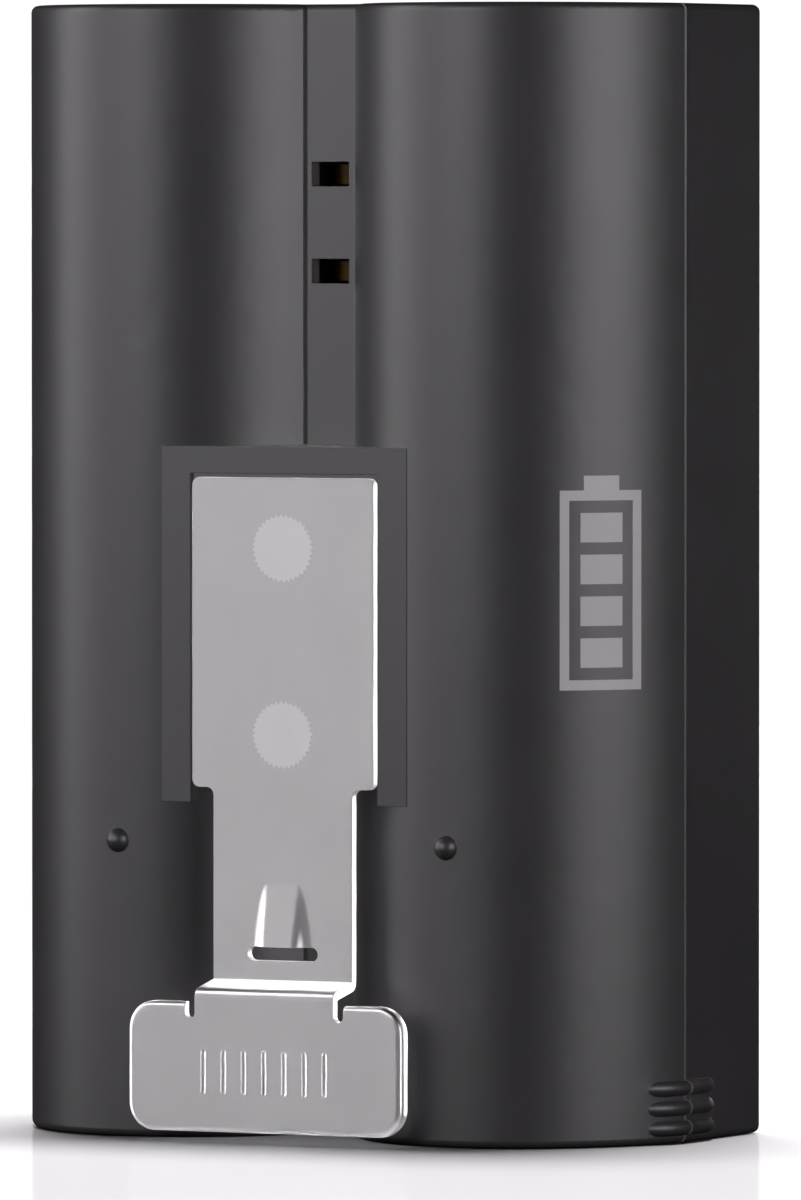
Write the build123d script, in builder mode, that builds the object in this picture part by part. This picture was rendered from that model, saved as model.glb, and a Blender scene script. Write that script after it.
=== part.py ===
from build123d import *
import os
from math import cos, pi, sin, sqrt

# A removable rechargeable battery pack: two cylindrical cells side by side in a two-lobed case,
# with a spring-steel release latch riveted to its front.
# Millimetres. +Z is up, -Y is the front, where the latch is, and +X is right seen from the front.
# The origin is the middle of the bottom end, on the plane where the two case shells meet.
# Plane.XZ looks to the front, so Plane.XZ.offset(d) lies d in front of the parting plane.

# Case
case_height = 70.0
lobe_half_width = 11.39  # half axis of a lobe's elliptical section along X, and its place along X
lobe_half_depth = 13.9  # half axis of the same ellipse along Y
lobe_centre_y = 3.25  # the ellipses are centred behind the parting plane, Y = 0
rear_face_y = 10.6
wall = 1.0
end_radius = 0.45
rear_corner_radius = 0.3
seam_depth = 0.18
seam_half_width = 0.12
side_x = lobe_half_width * (1 + sqrt(1 - (lobe_centre_y / lobe_half_depth) ** 2))

# Strip between the lobes, with the windows over the contacts
strip_half_width = 1.8
strip_front = 3.69
channel_half_width = 2.2
window_x = -0.2
window_heights = (53.5, 59.5)
window_width = 2.6
window_height = 1.52

# Tongue of the rear shell inside the front shell
tongue_inset = 0.64
tongue_depth = 0.8
tongue_gap = 0.05

# Pad that carries the latch, and its pocket
pad_front = 10.3
pad_half_width = 8.5
pad_bottom = 20.8
pad_top = 42.75
pocket_floor = 9.83
pocket_half_width = 6.5
pocket_top = 41.1
pad_core_half_width = 7.0

# Nubs and finger ribs
nub_radius = 0.75
nub_proud = 0.7
nub_height = 18.35
rib_heights = (0.97, 2.19, 3.41)
rib_radius = 0.48
rib_dive = 0.6  # how far the axis of a rib goes below the surface at its ends
rib_front_y = -2.3
rib_rear_y = 3.3

# Latch
steel = 0.6
latch_front = pocket_floor + steel
plate_half_width = 6.3
plate_bottom = 21.75
plate_top = 40.85
plate_corner_radius = 0.5
flex_height = 20.3  # the line about which the arm bends
flex_gap = 0.06
stem_half_width = 4.82
ledge_rear_height = 9.69  # the arm's two bends, at the middle of the sheet
ledge_front_height = 9.16
ledge_reach = 2.5
bend_radius = 0.35
tab_half_width = 9.5
tab_bottom = 0.62
tab_top = 8.62
tab_corner_radius = 1.7
tab_rim_depth = 0.3
tab_rim_width = 0.7
tab_edge_radius = 0.4
relief_radius = 0.33
relief_height = 7.95
catch_bottom = 12.0
catch_top = 15.95
catch_base_half_width = 2.0
catch_flat_half_width = 0.9
catch_rise = 0.77
catch_least_rise = 0.02
catch_slot_width = 4.86
catch_slot_height = 0.87

# Studs that hold the latch
stud_heights = (25.05, 36.5)
stud_head_radius = 2.1
stud_head_thickness = 0.35
stud_tooth_count = 36
stud_tooth_depth = 0.13
stud_shank_radius = 1.0
stud_length = 3.4
nut_across_flats = 4.0
nut_thickness = 1.6
running_gap = 0.03

# Cells
cell_radius = 9.05
sleeve_thickness = 0.1
cell_y = 0.2
cell_bottom = 2.0
can_length = 64.2
can_top = cell_bottom + can_length
groove_below_rim = 3.0
groove_depth = 0.45
cap_radius = 3.2
cap_height = 0.8
cap_top = can_top + cap_height
ring_thickness = 0.15
ring_outer_radius = 8.1

# Busbars
busbar_half_length = 14.5
busbar_width = 3.4
busbar_thickness = 0.15
weld_gap = 0.01
busbar_tab_length = 4.0
positive_busbar_y = -1.2

# Circuit board, in the gap between the cells
board_thickness = 0.8
board_bottom = 3.0
board_top = 66.0
board_front_y = -2.2
board_rear_y = 9.2
board_step_y = 0.5
board_step_height = 49.5
board_rib_thickness = 0.7
board_rib_gap = 0.05
board_chip_places = (  # charger, inductor, cell protector and its two switches: Y, Z, size, height
    (1.2, 14.0, 4.0, 0.9),
    (5.4, 20.0, 4.0, 1.8),
    (2.4, 26.0, 3.0, 0.8),
    (2.4, 33.0, 3.3, 1.0),
    (2.4, 38.0, 3.3, 1.0),
)
capacitor_y = 5.5
capacitor_middle_height = 28.0
capacitor_count = 9
capacitor_pitch = 4.0
capacitor_length = 1.6
capacitor_width = 0.8

# Charging receptacle and status lights at the bottom end
port_y = 5.2
port_width = 7.5
port_depth = 2.5
port_length = 5.1
port_recess = 0.35
port_wall = 0.3
port_opening_width = 8.0
port_opening_depth = 3.1
light_width = 1.0
light_inner_x = 2.2
light_y = 8.1
light_recess = 0.12
light_arm_height = 6.6
led_height = 0.7

# Contacts behind the windows
holder_half_width = 1.9
holder_front_y = -2.55
holder_rear_y = 0.4
holder_bottom = 50.6
holder_top = 62.4
blade_y = -1.0
blade_thickness = 0.2
blade_height = 1.2
tail_height = 0.9
tail_length = 4.0
tail_x = -0.52

# Temperature sensor between the board and the left cell
thermistor_x = 1.3
thermistor_y = 2.0
thermistor_height = 36.0
thermistor_length = 3.0
thermistor_radius = 0.7

# Foam over and under the cells, and tape behind them
cushion_radius = 6.0
adhesive_width = 4.0
adhesive_height = 50.0
adhesive_thickness = 0.2

# Label
label_width = 34.0
label_height = 50.0
label_centre_height = 37.0
label_recess = 0.12
label_thickness = 0.1
label_edge_gap = 0.2

stud_teeth = []
for tooth in range(2 * stud_tooth_count):
    tooth_radius = stud_head_radius - stud_tooth_depth * (tooth % 2)
    tooth_angle = pi * tooth / stud_tooth_count
    stud_teeth.append((tooth_radius * cos(tooth_angle), tooth_radius * sin(tooth_angle)))

os.makedirs("parts", exist_ok=True)


def lobe_x(y):
    """Outer X of the right lobe's flank at a place in front of the parting plane."""
    return lobe_half_width * (1 + sqrt(1 - ((y - lobe_centre_y) / lobe_half_depth) ** 2))


def draw_lobes(inset):
    """Draws both lobes in the sketch being made, cut off at the parting plane."""
    with Locations((-lobe_half_width, lobe_centre_y), (lobe_half_width, lobe_centre_y)):
        Ellipse(lobe_half_width - inset, lobe_half_depth - inset)
    with Locations((0, lobe_half_depth)):
        Rectangle(6 * lobe_half_width, 2 * lobe_half_depth, mode=Mode.SUBTRACT)


def draw_seam():
    """Draws the band around the case that the groove along the seam takes away."""
    with Locations((0, case_height / 2)):
        Rectangle(3 * side_x, 2 * case_height)
        RectangleRounded(
            2 * (side_x - seam_depth), case_height - 2 * seam_depth, end_radius, mode=Mode.SUBTRACT
        )


def draw_ridge(base_half, flat_half, base_front, rise):
    """Draws the catch's section, a ridge that stands forward of a plane."""
    Polygon(
        (-base_half, -base_front),
        (-flat_half, -base_front - rise),
        (flat_half, -base_front - rise),
        (base_half, -base_front),
        align=None,
    )


def draw_span(x_low, x_high, y_low, y_high, mode=Mode.ADD):
    """Draws a rectangle between two corners in the sketch being made."""
    with Locations(((x_low + x_high) / 2, (y_low + y_high) / 2)):
        Rectangle(x_high - x_low, y_high - y_low, mode=mode)


# Finger ribs: half-round ribs round the bottom of the right-hand side, which run out at both ends
with BuildPart() as finger_ribs:
    for height in rib_heights:
        with BuildLine(Plane.XY.offset(height)) as rib_path:
            Spline(
                (lobe_x(rib_front_y) - rib_dive, rib_front_y - rib_radius),
                (lobe_x(rib_front_y + rib_radius), rib_front_y + rib_radius),
                (side_x, 0),
                (side_x, rib_rear_y / 2),
                (side_x, rib_rear_y - rib_radius),
                (side_x - rib_dive, rib_rear_y + rib_radius),
            )
        with BuildSketch(Plane(rib_path.line @ 0, z_dir=rib_path.line % 0)):
            Circle(rib_radius)
        sweep()

# The whole case as one block, before it is parted
with BuildPart() as case_block:
    with BuildSketch() as case_section:
        draw_lobes(0)
        draw_span(-strip_half_width, strip_half_width, -strip_front, 0)
        draw_span(-strip_half_width, strip_half_width, -2 * strip_front, -strip_front, Mode.SUBTRACT)
        draw_span(-side_x, side_x, 0, rear_face_y)
        fillet(case_section.vertices().group_by(Axis.Y)[-1], rear_corner_radius)
    extrude(amount=case_height)
    end_edges = case_block.edges().group_by(Axis.Z)
    fillet(end_edges[0] + end_edges[-1], end_radius)
    add(finger_ribs.part)

with BuildPart() as front_shell:
    add(case_block.part)
    split(bisect_by=Plane.XZ, keep=Keep.TOP)
    with BuildSketch(Plane.XZ):
        draw_seam()
    extrude(amount=seam_half_width, mode=Mode.SUBTRACT)
    with BuildSketch(Plane.XZ.offset(pad_front)):
        draw_span(-pad_half_width, pad_half_width, pad_bottom, pad_top)
        draw_span(-pocket_half_width, pocket_half_width, pad_bottom, plate_bottom, Mode.SUBTRACT)
    extrude(amount=strip_front - pad_front)
    with BuildSketch(Plane.XZ.offset(pad_front)):
        draw_span(-pocket_half_width, pocket_half_width, pad_bottom, pocket_top)
    extrude(amount=pocket_floor - pad_front, mode=Mode.SUBTRACT)
    nub_y = lobe_centre_y - lobe_half_depth - nub_proud + nub_radius
    with Locations((-lobe_half_width, nub_y, nub_height), (lobe_half_width, nub_y, nub_height)):
        Sphere(nub_radius)
    with BuildSketch(Plane.XY.offset(wall)):
        draw_lobes(wall)
        draw_span(-channel_half_width, channel_half_width, wall - strip_front, 0)
    extrude(amount=case_height - 2 * wall, mode=Mode.SUBTRACT)
    with BuildSketch(Plane.XZ):
        draw_span(-pad_core_half_width, pad_core_half_width, plate_bottom + wall, pad_top - wall)
    extrude(amount=pocket_floor - wall, mode=Mode.SUBTRACT)
    rebate_inset = tongue_inset - tongue_gap
    with BuildSketch(Plane.XZ):
        draw_span(rebate_inset - side_x, side_x - rebate_inset, rebate_inset, case_height - rebate_inset)
    extrude(amount=tongue_depth + tongue_gap, mode=Mode.SUBTRACT)
    with BuildSketch(Plane.XZ.offset(strip_front)):
        with Locations([(window_x, height) for height in window_heights]):
            Rectangle(window_width, window_height)
    extrude(amount=-2 * wall, mode=Mode.SUBTRACT)
    with BuildSketch(Plane.XZ.offset(pocket_floor)):
        with Locations([(0, height) for height in stud_heights]):
            Circle(stud_shank_radius + 2 * running_gap)
    extrude(amount=-2 * wall, mode=Mode.SUBTRACT)

with BuildPart() as rear_shell:
    add(case_block.part)
    split(bisect_by=Plane.XZ, keep=Keep.BOTTOM)
    with BuildSketch(Plane.XZ):
        draw_seam()
    extrude(amount=-seam_half_width, mode=Mode.SUBTRACT)
    with BuildSketch(Plane.XZ):
        draw_span(wall - side_x, side_x - wall, wall, case_height - wall)
    extrude(amount=wall - rear_face_y, mode=Mode.SUBTRACT)
    with BuildSketch(Plane.XZ):
        draw_span(tongue_inset - side_x, side_x - tongue_inset, tongue_inset, case_height - tongue_inset)
        draw_span(wall - side_x, side_x - wall, wall, case_height - wall, Mode.SUBTRACT)
    extrude(amount=tongue_depth)
    rib_inner_x = board_thickness / 2 + board_rib_gap
    with BuildSketch(Plane.XZ.offset(-rear_face_y + wall)):
        for side in (-1, 1):
            with Locations((side * (rib_inner_x + board_rib_thickness / 2), case_height / 2)):
                Rectangle(board_rib_thickness, case_height - 24 * wall)
    extrude(amount=rear_face_y - wall - board_rear_y + 2 * board_rib_thickness)
    with BuildSketch():
        with Locations((0, port_y)):
            RectangleRounded(port_opening_depth, port_opening_width, port_opening_depth / 3)
        for side in (-1, 1):
            with Locations((side * (light_inner_x + light_width / 2), light_y)):
                Rectangle(light_width + 2 * running_gap, light_width + 2 * running_gap)
    extrude(amount=wall, mode=Mode.SUBTRACT)
    with BuildSketch(Plane.XZ.offset(-rear_face_y)):
        with Locations((0, label_centre_height)):
            RectangleRounded(label_width, label_height, 2 * rear_corner_radius)
    extrude(amount=label_recess, mode=Mode.SUBTRACT)

with BuildPart() as rear_label:
    with BuildSketch(Plane.XZ.offset(label_recess - rear_face_y)):
        with Locations((0, label_centre_height)):
            RectangleRounded(
                label_width - 2 * label_edge_gap,
                label_height - 2 * label_edge_gap,
                2 * rear_corner_radius - label_edge_gap,
            )
    extrude(amount=-label_thickness)

# Latch: one bent strip of spring steel, parted at the line where it flexes
with BuildPart() as latch_plate:
    with BuildSketch(Plane.XZ.offset(latch_front)) as plate_outline:
        draw_span(-plate_half_width, plate_half_width, plate_bottom, plate_top)
        draw_span(-stem_half_width, stem_half_width, flex_height + flex_gap / 2, plate_top)
        corners = plate_outline.vertices().group_by(Axis.Y)
        fillet(corners[-1] + corners[1], plate_corner_radius)
    extrude(amount=-steel)
    with Locations(Plane.XZ.offset(latch_front)):
        with Locations([(0, height) for height in stud_heights]):
            CounterBoreHole(
                radius=stud_shank_radius + running_gap,
                counter_bore_radius=stud_head_radius + running_gap,
                counter_bore_depth=stud_head_thickness,
                depth=steel,
            )

with BuildPart() as latch_arm:
    tab_front = latch_front + ledge_reach
    with BuildSketch(Plane.YZ):
        with BuildLine():
            FilletPolyline(
                (steel / 2 - latch_front, flex_height - flex_gap / 2),
                (steel / 2 - latch_front, ledge_rear_height),
                (steel / 2 - tab_front, ledge_front_height),
                (steel / 2 - tab_front, tab_bottom),
                radius=bend_radius,
            )
        trace(line_width=steel)
    extrude(amount=2 * tab_half_width, both=True)
    with BuildSketch(Plane.XZ.offset(tab_front)):
        with Locations((0, (tab_bottom + tab_top) / 2)):
            RectangleRounded(2 * tab_half_width, tab_top - tab_bottom, tab_corner_radius)
        relief_x = stem_half_width + relief_radius
        with Locations((-relief_x, relief_height), (relief_x, relief_height)):
            Circle(relief_radius, mode=Mode.SUBTRACT)
        with Locations((-relief_x, tab_top), (relief_x, tab_top)):
            Rectangle(2 * relief_radius, 2 * (tab_top - relief_height), mode=Mode.SUBTRACT)
        draw_span(-stem_half_width, stem_half_width, relief_height, flex_height)
    extrude(amount=-(ledge_reach + 2 * steel), mode=Mode.INTERSECT)
    with BuildSketch(Plane.XZ.offset(tab_front - steel)):
        with Locations((0, (tab_bottom + tab_top) / 2)):
            RectangleRounded(2 * tab_half_width, tab_top - tab_bottom, tab_corner_radius)
            RectangleRounded(
                2 * (tab_half_width - tab_rim_width),
                tab_top - tab_bottom - 2 * tab_rim_width,
                tab_corner_radius - tab_rim_width,
                mode=Mode.SUBTRACT,
            )
        rim_end_x = relief_x + 2 * relief_radius
        draw_span(-rim_end_x, rim_end_x, relief_height - tab_rim_width, tab_top, Mode.SUBTRACT)
    extrude(amount=-tab_rim_depth)
    tab_face = latch_arm.faces().sort_by(Axis.Y)[0]
    side_edges = tab_face.edges().filter_by(lambda edge: abs(edge.center().X) > rim_end_x)
    bottom_edge = tab_face.edges().sort_by(Axis.Z)[0]
    fillet(side_edges + [bottom_edge], tab_edge_radius)
    # Catch: a louvre pressed out of the stem, open at its lower end over a slot
    sheet_middle = latch_front - steel / 2
    for height, rise in ((catch_bottom, catch_rise), (catch_top, catch_least_rise)):
        with BuildSketch(Plane.XY.offset(height)):
            draw_ridge(catch_base_half_width, catch_flat_half_width, sheet_middle, rise + steel / 2)
    loft()
    hollow_top = catch_top - steel
    for height, rise in ((catch_bottom, catch_rise), (hollow_top, catch_least_rise)):
        with BuildSketch(Plane.XY.offset(height)):
            draw_ridge(catch_base_half_width - steel, catch_flat_half_width - steel / 2, pocket_floor, rise)
    loft(mode=Mode.SUBTRACT)
    with BuildSketch(Plane.XZ.offset(latch_front)):
        with Locations((0, catch_bottom - catch_slot_height / 2)):
            RectangleRounded(catch_slot_width, catch_slot_height, catch_slot_height / 2 - running_gap)
    extrude(amount=-steel, mode=Mode.SUBTRACT)

with BuildPart() as latch_studs:
    for height in stud_heights:
        with BuildSketch(Plane.XZ.offset(latch_front)):
            with Locations((0, height)):
                Polygon(*stud_teeth, align=None)
        extrude(amount=-stud_head_thickness)
        with BuildSketch(Plane.XZ.offset(latch_front)):
            with Locations((0, height)):
                Circle(stud_shank_radius)
        extrude(amount=-stud_length)

with BuildPart() as stud_nuts:
    with BuildSketch(Plane.XZ.offset(pocket_floor - wall)):
        with Locations([(0, height) for height in stud_heights]):
            RegularPolygon(nut_across_flats / 2, 6, major_radius=False)
            Circle(stud_shank_radius + running_gap, mode=Mode.SUBTRACT)
    extrude(amount=-nut_thickness)


def make_cell(x):
    """Makes a cell's steel can, with the rolled groove below its rim."""
    with BuildPart() as can:
        with BuildSketch(Plane((x, cell_y, 0), x_dir=(1, 0, 0), z_dir=(0, -1, 0))):
            groove = can_top - groove_below_rim
            with BuildLine():
                Polyline(
                    (0, cell_bottom),
                    (cell_radius, cell_bottom),
                    (cell_radius, groove - groove_depth),
                    (cell_radius - groove_depth, groove),
                    (cell_radius, groove + groove_depth),
                    (cell_radius, can_top),
                    (0, can_top),
                    close=True,
                )
            make_face()
        revolve(axis=Axis((x, cell_y, 0), (0, 0, 1)))
    return can


def make_sleeve(x):
    """Makes the shrunk sleeve around a can, turned in over the can's rim."""
    with BuildPart() as sleeve:
        with BuildSketch(Plane.XY.offset(cell_bottom)):
            with Locations((x, cell_y)):
                Circle(cell_radius + sleeve_thickness)
                Circle(cell_radius, mode=Mode.SUBTRACT)
        extrude(amount=can_length)
        with BuildSketch(Plane.XY.offset(can_top)):
            with Locations((x, cell_y)):
                Circle(cell_radius + sleeve_thickness)
                Circle(ring_outer_radius + sleeve_thickness, mode=Mode.SUBTRACT)
        extrude(amount=sleeve_thickness)
    return sleeve


cell_left = make_cell(-lobe_half_width)
cell_right = make_cell(lobe_half_width)
cell_sleeve_left = make_sleeve(-lobe_half_width)
cell_sleeve_right = make_sleeve(lobe_half_width)
cell_places = ((-lobe_half_width, cell_y), (lobe_half_width, cell_y))

with BuildPart() as cell_caps:
    with BuildSketch(Plane.XY.offset(can_top)):
        with Locations(cell_places):
            Circle(cap_radius)
    extrude(amount=cap_height)
    fillet(cell_caps.edges().group_by(Axis.Z)[-1], cap_height / 3)

with BuildPart() as insulator_rings:
    with BuildSketch(Plane.XY.offset(can_top)):
        with Locations(cell_places):
            Circle(ring_outer_radius)
            Circle(cap_radius + ring_thickness, mode=Mode.SUBTRACT)
    extrude(amount=ring_thickness)


def make_busbar(low_z, y_low, tab_low_z):
    """Makes the nickel strip across both cells, with the tab that is soldered to the board."""
    with BuildPart() as busbar:
        with BuildSketch(Plane.XY.offset(low_z)):
            draw_span(-busbar_half_length, busbar_half_length, y_low, y_low + busbar_width)
        extrude(amount=busbar_thickness)
        with BuildSketch(Plane.XY.offset(tab_low_z)):
            tab_x = board_thickness / 2 + weld_gap
            draw_span(tab_x, tab_x + busbar_thickness, y_low + busbar_width / 2, y_low + busbar_width)
        extrude(amount=busbar_tab_length)
    return busbar


positive_low_z = cap_top + weld_gap
negative_low_z = cell_bottom - weld_gap - busbar_thickness
positive_tab_z = positive_low_z + busbar_thickness - busbar_tab_length
negative_tab_z = negative_low_z + busbar_thickness
positive_busbar = make_busbar(positive_low_z, positive_busbar_y, positive_tab_z)
negative_busbar = make_busbar(negative_low_z, board_front_y, negative_tab_z)

with BuildPart() as circuit_board:
    with BuildSketch(Plane.YZ.offset(-board_thickness / 2)):
        draw_span(board_front_y, board_rear_y, board_bottom, board_top)
        draw_span(board_front_y, board_step_y, board_step_height, board_top, Mode.SUBTRACT)
        port_notch_y = port_y - port_width / 2 - 4 * running_gap
        port_notch_top = port_recess + port_length + port_wall
        draw_span(port_notch_y, board_rear_y, board_bottom, port_notch_top, Mode.SUBTRACT)
    extrude(amount=board_thickness)

with BuildPart() as board_chips:
    for y, z, size, chip_height in board_chip_places:
        with BuildSketch(Plane.YZ.offset(board_thickness / 2)):
            with Locations((y, z)):
                Rectangle(size, size)
        extrude(amount=chip_height)

with BuildPart() as board_capacitors:
    with BuildSketch(Plane.YZ.offset(-board_thickness / 2)):
        with Locations((capacitor_y, capacitor_middle_height)):
            with GridLocations(0, capacitor_pitch, 1, capacitor_count):
                Rectangle(capacitor_length, capacitor_width)
    extrude(amount=-capacitor_width)

with BuildPart() as charging_receptacle:
    with BuildSketch(Plane.XY.offset(port_recess)):
        with Locations((0, port_y)):
            RectangleRounded(port_depth, port_width, port_wall)
            RectangleRounded(
                port_depth - 2 * port_wall, port_width - 2 * port_wall, port_wall / 2, mode=Mode.SUBTRACT
            )
    extrude(amount=port_length)
    with BuildSketch(Plane.XY.offset(port_recess + port_length - port_wall)):
        with Locations((0, port_y)):
            Rectangle(port_depth - port_wall, port_width - port_wall)
    extrude(amount=port_wall)

with BuildPart() as receptacle_tongue:
    with BuildSketch(Plane.XY.offset(2 * port_recess)):
        with Locations((0, port_y)):
            Rectangle(port_depth / 4, port_width - 8 * port_wall)
    extrude(amount=port_length - port_wall - port_recess)

with BuildPart() as status_light_pipes:
    for side in (-1, 1):
        outer_x = light_inner_x + light_width
        led_front_x = board_thickness / 2 + led_height + weld_gap
        with BuildSketch(Plane.XZ.offset(light_width / 2 - light_y)):
            Polygon(
                (side * light_inner_x, light_recess),
                (side * outer_x, light_recess),
                (side * outer_x, light_arm_height + light_width),
                (side * led_front_x, light_arm_height + light_width),
                (side * led_front_x, light_arm_height),
                (side * light_inner_x, light_arm_height),
                align=None,
            )
        extrude(amount=-light_width)

with BuildPart() as status_leds:
    for side in (-1, 1):
        with BuildSketch(Plane.XZ.offset(light_width / 2 - light_y)):
            with Locations((side * (board_thickness + led_height) / 2, light_arm_height + light_width / 2)):
                Rectangle(led_height, light_width)
        extrude(amount=-light_width)

with BuildPart() as contact_holder:
    with BuildSketch(Plane.XZ.offset(-holder_rear_y)):
        draw_span(-holder_half_width, holder_half_width, holder_bottom, holder_top)
    extrude(amount=holder_rear_y - holder_front_y)
    with BuildSketch(Plane.XZ.offset(-holder_front_y)):
        with Locations([(window_x, height) for height in window_heights]):
            Rectangle(window_width + blade_thickness, window_height + blade_thickness)
    extrude(amount=holder_front_y - blade_y - blade_thickness, mode=Mode.SUBTRACT)
    with BuildSketch(Plane.XZ.offset(-holder_front_y)):
        with Locations([(tail_x, height) for height in window_heights]):
            Rectangle(2 * blade_thickness, blade_height)
    extrude(amount=holder_front_y - holder_rear_y, mode=Mode.SUBTRACT)


def make_contact(height):
    """Makes the contact blade behind a window, with the tail that lies on the board."""
    with BuildPart() as contact:
        with BuildSketch(Plane.XZ.offset(-blade_y)):
            with Locations((window_x, height)):
                Rectangle(window_width - 2 * blade_thickness, blade_height)
        extrude(amount=-blade_thickness)
        with BuildSketch(Plane.XZ.offset(-blade_y)):
            with Locations((tail_x, height)):
                Rectangle(blade_thickness, tail_height)
        extrude(amount=-tail_length)
    return contact


contact_negative = make_contact(window_heights[0])
contact_positive = make_contact(window_heights[1])

with BuildPart() as thermistor:
    with BuildSketch(Plane.XY.offset(thermistor_height)):
        with Locations((-thermistor_x, thermistor_y)):
            Circle(thermistor_radius)
    extrude(amount=thermistor_length)
    with BuildSketch(Plane.XY.offset(thermistor_height - thermistor_radius)):
        with Locations((-thermistor_x, thermistor_y)):
            with GridLocations(0, thermistor_radius, 1, 2):
                Circle(blade_thickness / 2)
    extrude(amount=2 * thermistor_radius)

with BuildPart() as cell_cushions:
    with BuildSketch(Plane.XY.offset(wall + weld_gap)):
        with Locations(cell_places):
            Circle(cushion_radius)
    extrude(amount=cell_bottom - wall - busbar_thickness - 3 * weld_gap)
    with BuildSketch(Plane.XY.offset(cap_top + busbar_thickness + 2 * weld_gap)):
        with Locations(cell_places):
            Circle(cushion_radius)
    extrude(amount=case_height - wall - cap_top - busbar_thickness - 3 * weld_gap)

with BuildPart() as adhesive_strips:
    with BuildSketch(Plane.XZ.offset(wall + weld_gap - rear_face_y)):
        with Locations([(x, case_height / 2) for x, y in cell_places]):
            Rectangle(adhesive_width, adhesive_height)
    extrude(amount=adhesive_thickness)

pieces = {
    "front_shell": front_shell,
    "rear_shell": rear_shell,
    "rear_label": rear_label,
    "latch_plate": latch_plate,
    "latch_arm": latch_arm,
    "latch_studs": latch_studs,
    "stud_nuts": stud_nuts,
    "cell_left": cell_left,
    "cell_right": cell_right,
    "cell_sleeve_left": cell_sleeve_left,
    "cell_sleeve_right": cell_sleeve_right,
    "cell_caps": cell_caps,
    "insulator_rings": insulator_rings,
    "positive_busbar": positive_busbar,
    "negative_busbar": negative_busbar,
    "circuit_board": circuit_board,
    "board_chips": board_chips,
    "board_capacitors": board_capacitors,
    "charging_receptacle": charging_receptacle,
    "receptacle_tongue": receptacle_tongue,
    "status_light_pipes": status_light_pipes,
    "status_leds": status_leds,
    "contact_holder": contact_holder,
    "contact_negative": contact_negative,
    "contact_positive": contact_positive,
    "thermistor": thermistor,
    "cell_cushions": cell_cushions,
    "adhesive_strips": adhesive_strips,
}
for name, piece in pieces.items():
    piece.part.label = name
    export_step(piece.part, f"parts/{name}.step")
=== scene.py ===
import math

import bmesh
import bpy
from mathutils import Matrix, Vector
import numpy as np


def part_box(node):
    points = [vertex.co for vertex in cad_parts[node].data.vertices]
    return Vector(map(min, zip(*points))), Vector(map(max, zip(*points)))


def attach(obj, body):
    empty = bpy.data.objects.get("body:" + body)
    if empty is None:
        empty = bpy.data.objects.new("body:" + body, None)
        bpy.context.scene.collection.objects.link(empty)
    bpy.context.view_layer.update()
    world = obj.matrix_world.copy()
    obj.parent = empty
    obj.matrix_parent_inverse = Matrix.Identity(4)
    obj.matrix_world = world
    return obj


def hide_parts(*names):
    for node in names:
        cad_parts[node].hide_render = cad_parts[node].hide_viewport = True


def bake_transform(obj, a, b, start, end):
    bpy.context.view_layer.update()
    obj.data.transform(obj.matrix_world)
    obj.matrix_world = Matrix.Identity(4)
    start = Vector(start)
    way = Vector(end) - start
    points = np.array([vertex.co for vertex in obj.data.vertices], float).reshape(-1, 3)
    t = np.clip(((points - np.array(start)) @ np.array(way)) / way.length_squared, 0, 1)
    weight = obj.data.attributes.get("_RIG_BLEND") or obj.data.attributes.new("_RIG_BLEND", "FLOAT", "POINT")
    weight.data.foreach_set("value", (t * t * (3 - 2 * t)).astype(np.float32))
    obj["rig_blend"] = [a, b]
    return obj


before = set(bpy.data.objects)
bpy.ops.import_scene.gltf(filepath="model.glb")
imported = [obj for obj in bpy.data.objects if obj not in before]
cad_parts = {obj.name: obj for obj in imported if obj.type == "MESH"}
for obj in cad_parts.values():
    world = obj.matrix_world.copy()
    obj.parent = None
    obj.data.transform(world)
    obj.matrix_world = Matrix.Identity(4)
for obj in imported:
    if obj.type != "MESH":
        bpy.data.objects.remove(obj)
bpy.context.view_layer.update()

# A removable rechargeable battery pack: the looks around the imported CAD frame.
# Shapes are drawn and finished in millimetres and scaled to metres at the end. -Y is the front.
MM = 0.001

scene = bpy.context.scene


def box_mm(node):
    """Lowest and highest corner of a CAD node, in millimetres."""
    low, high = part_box(node)
    return low / MM, high / MM


plate_low, plate_high = box_mm("latch_plate")
arm_low, arm_high = box_mm("latch_arm")
studs_high = box_mm("latch_studs")[1]

# ---------------------------------------------------------------- meshes

SHARP_ANGLE = 40
SAME_POINT = 1e-4


def arc(x, y, radius, start, end, steps=12):
    """Points on an arc, both ends included. The angles are in degrees."""
    angles = [math.radians(start + (end - start) * i / steps) for i in range(steps + 1)]
    return [(x + radius * math.cos(a), y + radius * math.sin(a)) for a in angles]


def smooth_step(value, low, high):
    """0 below low, 1 above high, and smooth in between."""
    t = min(max((value - low) / (high - low), 0.0), 1.0)
    return t * t * (3 - 2 * t)


def add_object(name, data):
    """Makes an object of a mesh, a light or a camera, and links it into the scene."""
    made = bpy.data.objects.new(name, data)
    scene.collection.objects.link(made)
    return made


def mesh_from(bm, name):
    """Turns a bmesh into a smooth-shaded mesh, in millimetres."""
    bmesh.ops.recalc_face_normals(bm, faces=bm.faces)
    mesh = bpy.data.meshes.new(name)
    bm.to_mesh(mesh)
    bm.free()
    mesh.polygons.foreach_set("use_smooth", [True] * len(mesh.polygons))
    return mesh


def apply_modifiers(made):
    """Bakes an object's modifiers into its mesh."""
    graph = bpy.context.evaluated_depsgraph_get()
    baked = bpy.data.meshes.new_from_object(made.evaluated_get(graph))
    old = made.data
    made.modifiers.clear()
    made.data = baked
    bpy.data.meshes.remove(old)


def carve(made, cutter_mesh):
    """Cuts a closed mesh away from an object."""
    cutter = add_object("cutter", cutter_mesh)
    cut = made.modifiers.new("carve", "BOOLEAN")
    cut.operation = "DIFFERENCE"
    cut.solver = "EXACT"
    cut.object = cutter
    apply_modifiers(made)
    bpy.data.objects.remove(cutter)


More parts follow.
